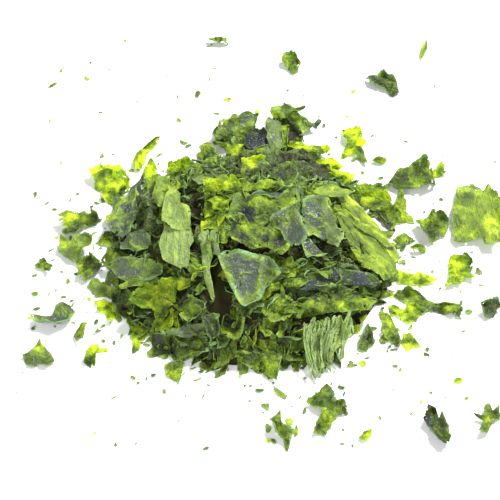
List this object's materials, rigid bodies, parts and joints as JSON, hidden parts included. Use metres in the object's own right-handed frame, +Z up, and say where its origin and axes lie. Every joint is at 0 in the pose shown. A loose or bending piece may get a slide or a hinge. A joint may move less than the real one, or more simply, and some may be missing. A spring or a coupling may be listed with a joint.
{
  "type": "dried seaweed flakes",
  "caption": "Low, loose heap of broken, crumpled dried sea lettuce with small flakes strewn round it on a bare surface.",
  "frame": {"origin": "on the surface that the flakes lie on, under the middle of the heap's flat underside", "axes": "+Z up, +X to the right seen from the front, +Y from the front to the back"},
  "size_m": [0.1404, 0.1644, 0.0269],
  "materials": {
    "mixed_leaf": "dry, crinkled leaf with a soft sheen, dark where it is thick",
    "dark_leaf": "dry, crinkled leaf with a soft sheen",
    "lime_leaf": "thin dry leaf that lets light through"
  },
  "bodies": {
    "root": {"flake_heap": "mixed_leaf", "top_dark": "dark_leaf", "top_green": "dark_leaf", "top_strip": "dark_leaf", "top_sliver": "dark_leaf", "lime_scrap": "lime_leaf", "slate_flake": "dark_leaf", "lime_bit": "lime_leaf", "hollow_curl": "dark_leaf", "big_lime": "lime_leaf", "green_kite": "lime_leaf", "edge_dark": "dark_leaf", "edge_green": "dark_leaf", "dark_clump": "dark_leaf", "low_long": "dark_leaf", "low_leaf": "dark_leaf", "low_cluster": "dark_leaf", "bean_curl": "dark_leaf", "kite_left": "lime_leaf", "bud_left": "dark_leaf", "bud_low": "dark_leaf", "bit_left": "dark_leaf", "small_right": "dark_leaf", "lime_dash": "lime_leaf", "green_dash": "dark_leaf", "left_island": "lime_leaf", "left_island_low": "dark_leaf", "left_crumb": "dark_leaf", "low_chip": "dark_leaf"}
  },
  "joints": []
}
